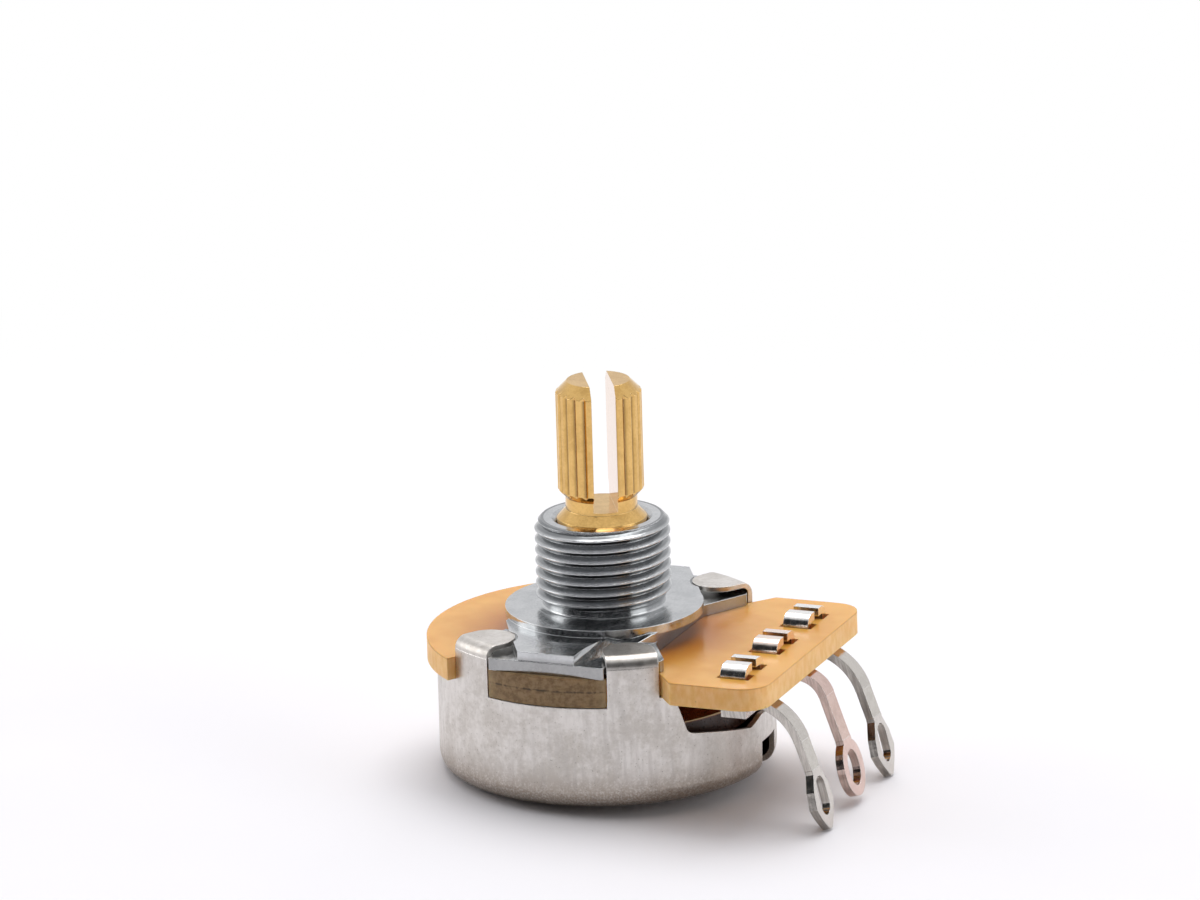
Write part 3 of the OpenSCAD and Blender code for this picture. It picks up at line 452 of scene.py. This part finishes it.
def bright_strip(name, clean, stained, prong_highlight):
    """Plated strip for the terminals: bright rolled faces with a slow wave, prongs above the wafer whitened as a
    painted highlight, and dark drawn lines on sheared sides.
    """
    tree, shader, material = finish_of(name, Metallic=1.0)
    place, x, y, z = tree.place()
    coat = placed_effect(tree, TARNISH, Vector=place, Clean=clean, Stained=stained,
                         Cloud_Scale=0.7, Grain_Scale=6.0, Amount=0.55)
    _, sideways, _ = tree.normal()
    side = tree.between(tree.size(sideways), 0.6, 0.9)
    across = tree.plus(tree.times(x, LEG_DOWN), tree.times(z, LEG_OUT))
    along = tree.minus(tree.times(z, LEG_DOWN), tree.times(x, LEG_OUT))
    lines = tree.noise(tree.vector(tree.times(across, 5.0), y, tree.times(along, 0.35)), 1.6, 3.0, 0.6)
    sheared = tree.times(side, tree.between(lines, 0.34, 0.66, 0.12, 0.60))
    edge, rounded = edge_wear_and_highlight(tree, 0.05, 3.0)
    # Painted highlight: the prongs above the wafer take a near white colour
    prong = tree.between(z, WAFER_TOP - 0.05, WAFER_TOP + 0.25)
    face = tree.mix(prong, coat["Color"], prong_highlight)
    base = tree.mix(sheared, face, rgb(0.22, 0.20, 0.18))
    # Edges whitened: worn edges, and a painted edge highlight
    tree.set(shader, "Base Color", tree.mix(edge, base, rgb(0.96, 0.95, 0.93)))
    scuffs = tree.noise(place, 2.4, 4.0, 0.7)
    tree.set(shader, "Roughness", tree.between(scuffs, 0.35, 0.68, 0.12, 0.26))
    waves = tree.noise(place, 0.9, 2.0, 0.5)
    roughen(tree, shader, tree.plus(tree.times(waves, 8.0), scuffs), 0.002, rounded)
    return material


def moulded_brown():
    """Red-brown moulded phenolic of the rotor with a painted highlight line round its upper rim, and painted shade
    making it near black lower down.
    """
    tree, shader, material = finish_of("moulded brown", Metallic=0.0)
    place, x, y, z = tree.place()
    grains = tree.noise(place, 4.0, 4.0, 0.6)
    # Painted highlight: a thin pale line round the rotor's upper rim
    rim = tree.times(tree.between(tree.from_axis(x, y), ROTOR_R - 0.12, ROTOR_R - 0.02),
                     tree.between(z, ROTOR_TOP - 0.12, ROTOR_TOP - 0.02))
    base = tree.mix(tree.between(grains, 0.35, 0.65), rgb(0.17, 0.030, 0.007), rgb(0.27, 0.055, 0.012))
    # Painted shade: the rotor's side below its upper face goes near black
    below = tree.between(z, ROTOR_TOP - 0.2, ROTOR_TOP - 0.02, 0.92, 0.0)
    dark = tree.mix(below, base, rgb(0.02, 0.013, 0.01))
    tree.set(shader, "Base Color", tree.mix(rim, dark, rgb(0.66, 0.50, 0.26)))
    tree.set(shader, "Roughness", tree.between(grains, 0.3, 0.7, 0.25, 0.40))
    roughen(tree, shader, grains, 0.006)
    return material


def printed_film(name, dark, light, metallic):
    """A printed layer under the wafer: fine grains of carbon or silver."""
    tree, shader, material = finish_of(name, Metallic=metallic)
    place, *_ = tree.place()
    grains = tree.noise(place, 14.0, 4.0, 0.7)
    tree.set(shader, "Base Color", tree.mix(tree.between(grains, 0.35, 0.65), dark, light))
    tree.set(shader, "Roughness", tree.between(grains, 0.3, 0.7, 0.45, 0.65))
    roughen(tree, shader, grains, 0.002)
    return material


def spring_metal(name, clean, stained):
    """Rolled spring sheet: long faint rolling lines along X and bright edges."""
    tree, shader, material = finish_of(name, Metallic=1.0)
    _, x, y, z = tree.place()
    lines = tree.noise(tree.vector(tree.times(x, 0.15), y, z), 8.0, 3.0, 0.6)
    edge, rounded = edge_wear_and_highlight(tree, 0.05, 3.0)
    tree.set(shader, "Base Color", tree.mix(edge, tree.mix(lines, clean, stained), clean))
    tree.set(shader, "Roughness", tree.between(lines, 0.3, 0.7, 0.18, 0.32))
    roughen(tree, shader, lines, 0.0015, rounded)
    return material


# --- shapes ---


def new_object(name, data):
    """An object that holds the data, in the scene."""
    thing = bpy.data.objects.new(name, data)
    bpy.context.scene.collection.objects.link(thing)
    return thing


def placed_at(side, up, back, spot):
    """The matrix of an object with these X, Y and Z axes at a spot."""
    axes = np.column_stack([side, up, back, spot])
    return Matrix([*axes.tolist(), [0, 0, 0, 1]])


def merged(node):
    """A bmesh of a CAD node with its doubled corners joined."""
    bm = bmesh.new()
    bm.from_mesh(NODES[node].data)
    bmesh.ops.remove_doubles(bm, verts=bm.verts, dist=DOUBLES_APART)
    return bm


def add_piece(name, mesh, body, material, stands_for):
    """Puts a mesh into the scene as a piece that rides on a body and stands for CAD nodes."""
    piece = new_object(name, mesh)
    mesh.materials.append(material)
    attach(piece, body)
    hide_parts(*stands_for)


def thread_radius(angle, z):
    """Radius of the barrel in millimetres, as arrays.

    A 60 degree ridge climbs a helix. Its phase is the height less the helix's climb, counted in pitches, and its
    height is a triangle wave of the phase, with root and crest cut flat and the flanks eased into them. Near the
    seat it fades into a plain root with a fillet, and the chamfer cone at the rim cuts it off. Below the seat the
    wall widens to a flat ring that closes it to the flange.
    """
    phase = (z - CREST_PHASE_Z - THREAD_PITCH * angle / (2 * np.pi)) / THREAD_PITCH
    wave = 1 - 2 * np.abs(phase - np.round(phase))
    ridge = np.clip((wave - ROOT_FLAT) / FLANK_SHARE, 0, 1)
    ridge = ridge - CREST_EASE * np.sin(np.pi * ridge) * (ridge - 0.5)
    fade = np.clip((z - THREAD_START_Z + FADE_BELOW_START) / FADE_LENGTH, 0, 1)
    radius = ROOT_R + THREAD_DEPTH * ridge * fade * fade * (3 - 2 * fade)
    rise = np.clip(1 - z / FOOT_FILLET, 0, 1)
    radius = np.maximum(radius, ROOT_R + FOOT_FILLET * (1 - np.sqrt(1 - rise * rise)))
    radius = np.minimum(radius, RIM_R + (BARREL_H - z))
    return np.where(z < 0, FOOT_RING_R, radius)


def is_barrel_wall(face):
    """Whether a face lies wholly outside the rim's radius and above the seat, and reaches up the barrel."""
    corners = [v.co for v in face.verts]
    outside = all(math.hypot(c.x, c.y) > (RIM_R - 0.01) * MM and c.z > -0.01 * MM for c in corners)
    return outside and max(c.z for c in corners) > 1.0 * MM


def threaded_bushing(material):
    """The CAD bushing plate with the plain wall of its barrel taken off and a threaded wall in its place.

    The new wall is a grid of points (r cos a, r sin a, z) with r from thread_radius, closed round the axis.
    """
    bm = merged("bushing_plate")
    bmesh.ops.delete(bm, geom=[f for f in bm.faces if is_barrel_wall(f)], context="FACES")
    bm.verts.index_update()
    base = [v.co[:] for v in bm.verts]
    faces = [[v.index for v in f.verts] for f in bm.faces]
    bm.free()

    angle, z = np.meshgrid(np.linspace(0, 2 * np.pi, THREAD_COLUMNS, endpoint=False),
                           np.linspace(FOOT_Z, BARREL_H, THREAD_ROWS))
    radius = thread_radius(angle, z)
    points = np.stack([radius * np.cos(angle), radius * np.sin(angle), z], axis=-1).reshape(-1, 3) * MM
    grid = np.arange(THREAD_ROWS * THREAD_COLUMNS).reshape(THREAD_ROWS, THREAD_COLUMNS) + len(base)
    right = np.roll(grid, -1, axis=1)
    quads = np.stack([grid[:-1], right[:-1], right[1:], grid[1:]], axis=-1).reshape(-1, 4)

    mesh = bpy.data.meshes.new("threaded_bushing")
    mesh.from_pydata(base + points.tolist(), [], faces + quads.tolist())
    mesh.shade_smooth()
    mesh.set_sharp_from_angle(angle=SHARP_EDGE)
    add_piece("threaded_bushing", mesh, "housing", material, ["bushing_plate"])


# --- the scene ---


def photo_camera():
    """The photograph's camera, worked out from the circles and edges of the part."""
    back = np.array([math.sin(AZIMUTH) * math.cos(ELEVATION), -math.cos(AZIMUTH) * math.cos(ELEVATION),
                     math.sin(ELEVATION)])
    level = np.array([math.cos(AZIMUTH), math.sin(AZIMUTH), 0.0])
    steep = np.cross(back, level)
    side = level * math.cos(ROLL) + steep * math.sin(ROLL)
    top = steep * math.cos(ROLL) - level * math.sin(ROLL)
    shift_x = (ORIGIN_PX[0] - PHOTO_WIDTH / 2) / FOCAL_PX * DISTANCE
    shift_y = -(ORIGIN_PX[1] - PHOTO_HEIGHT / 2) / FOCAL_PX * DISTANCE
    data = bpy.data.cameras.new("camera")
    data.sensor_width = SENSOR_WIDTH
    data.lens = SENSOR_WIDTH * FOCAL_PX / PHOTO_WIDTH
    data.clip_start, data.clip_end = 0.01, 20
    camera = new_object("camera", data)
    camera.matrix_world = placed_at(side, top, back, back * DISTANCE - side * shift_x - top * shift_y)
    bpy.context.scene.camera = camera


def resting_plane():
    """The plane on which the part stands: it leans on the tips of its end terminals and the far edge of its cover.

    Returns its slope along X and its height at X = 0. The slope is found by halving: at the right one the tips and
    the cover reach equally far down.
    """
    def reach(node, slope):
        co = np.array([v.co for v in NODES[node].data.vertices])
        return (co[:, 2] - slope * co[:, 0]).min()

    low, high = -0.2, 0.0
    for _ in range(40):
        slope = (low + high) / 2
        if reach("terminal_front", slope) < reach("cover", slope):
            high = slope
        else:
            low = slope
    return slope, reach("cover", slope)


def floor_finish():
    """Matt white paper with a faint cool cast, which the camera and reflections see go clear white far behind."""
    tree, shader, material = finish_of("white paper", Roughness=0.9, Specular_IOR_Level=0.2)
    place, x, y, _ = tree.place()
    grain = tree.noise(place, 0.05, 2.0)
    tree.set(shader, "Base Color", tree.mix(grain, rgb(0.90, 0.885, 0.91), rgb(0.93, 0.915, 0.94)))
    glow = tree.add("ShaderNodeEmission", {"Color": rgb(1, 1, 1), "Strength": 1.0})
    behind = tree.minus(tree.times(y, math.cos(ROOM_TURN)), tree.times(x, math.sin(ROOM_TURN)))
    seen = tree.add("ShaderNodeLightPath").outputs
    direct = tree.math("ADD", seen["Is Camera Ray"], seen["Is Glossy Ray"], clamp=True)
    whitened = tree.times(tree.between(behind, 15.0, 110.0), direct)
    blend = tree.add("ShaderNodeMixShader", {0: whitened, 1: shader.outputs[0], 2: glow.outputs[0]})
    tree.set(material.node_tree.nodes["Material Output"], "Surface", blend.outputs[0])
    return material


def paper_floor():
    """A wide sheet of paper in the plane on which the part stands."""
    slope, height = resting_plane()
    corners = [(x * FLOOR_HALF, y * FLOOR_HALF, height + slope * x * FLOOR_HALF)
               for x, y in ((-1, -1), (1, -1), (1, 1), (-1, 1))]
    mesh = bpy.data.meshes.new("paper_floor")
    mesh.from_pydata(corners, [], [(0, 1, 2, 3)])
    floor = new_object("paper_floor", mesh)
    mesh.materials.append(floor_finish())


def soft_box(name, spot, size, strength):
    """A square white lamp that faces the part; strength is the brightness of its face, where 1 is white."""
    data = bpy.data.lights.new(name, "AREA")
    data.shape = "SQUARE"
    data.size = size
    data.energy = strength * math.pi * size * size
    away = np.array(spot) / np.linalg.norm(spot)
    side = np.cross([0.0, 0.0, 1.0], away)
    side /= np.linalg.norm(side)
    new_object(name, data).matrix_world = placed_at(side, np.cross(away, side), away, spot)


def studio():
    """A white surround, dark on the camera's side apart from overhead, with lamps overhead, left and right."""
    world = bpy.data.worlds.new("studio")
    bpy.context.scene.world = world
    world.use_nodes = True
    tree = Tree(world.node_tree)
    x, y, z = tree.split(tree.add("ShaderNodeTexCoord").outputs["Generated"])
    front = tree.minus(tree.times(x, math.sin(ROOM_TURN)), tree.times(y, math.cos(ROOM_TURN)))
    high = tree.between(z, 0.72, 0.94)
    shade = tree.times(tree.between(front, -0.10, 0.40), tree.minus(1.0, high))
    surround = tree.mix(shade, rgb(0.86, 0.86, 0.88), rgb(0.03, 0.032, 0.035))
    tree.set(world.node_tree.nodes["Background"], "Color", surround)
    soft_box("lamp_overhead", (-0.03, 0.22, 0.58), 0.50, 2.7)
    soft_box("lamp_left", (-0.62, -0.10, 0.22), 0.36, 1.5)
    soft_box("lamp_right", (0.60, 0.0, 0.17), 0.34, 2.1)


def dress():
    """Gives every CAD node its finish, and the bushing its thread."""
    zinc = cast_zinc()
    # The last colour of each strip is the painted highlight on its prongs above the wafer
    plated = bright_strip("plated strip", rgb(0.64, 0.605, 0.56), rgb(0.52, 0.49, 0.45), rgb(0.95, 0.93, 0.90))
    silver = printed_film("silver film", rgb(0.60, 0.60, 0.62), rgb(0.78, 0.78, 0.80), 1.0)
    finishes = {
        "cover": tinned_sheet(),
        "bushing_plate": zinc,
        "shaft": turned_brass(),
        "retaining_clip": spring_metal("spring steel", rgb(0.46, 0.47, 0.49), rgb(0.34, 0.35, 0.37)),
        "wafer": phenolic_sheet(),
        "resistive_track": printed_film("carbon film", rgb(0.018, 0.018, 0.02), rgb(0.04, 0.04, 0.045), 0.0),
        "silver_pad_front": silver,
        "silver_pad_rear": silver,
        "terminal_front": plated,
        "terminal_middle": bright_strip("copper strip", rgb(0.72, 0.545, 0.485), rgb(0.58, 0.42, 0.365),
                                        rgb(0.94, 0.80, 0.72)),
        "terminal_rear": plated,
        "rotor": moulded_brown(),
        "contact_spring": spring_metal("spring bronze", rgb(0.78, 0.52, 0.30), rgb(0.62, 0.38, 0.20)),
    }
    for node, material in finishes.items():
        mesh = NODES[node].data
        mesh.materials.clear()
        mesh.materials.append(material)
    threaded_bushing(zinc)


photo_camera()
paper_floor()
studio()
dress()
bpy.context.scene.view_settings.view_transform = "Standard"
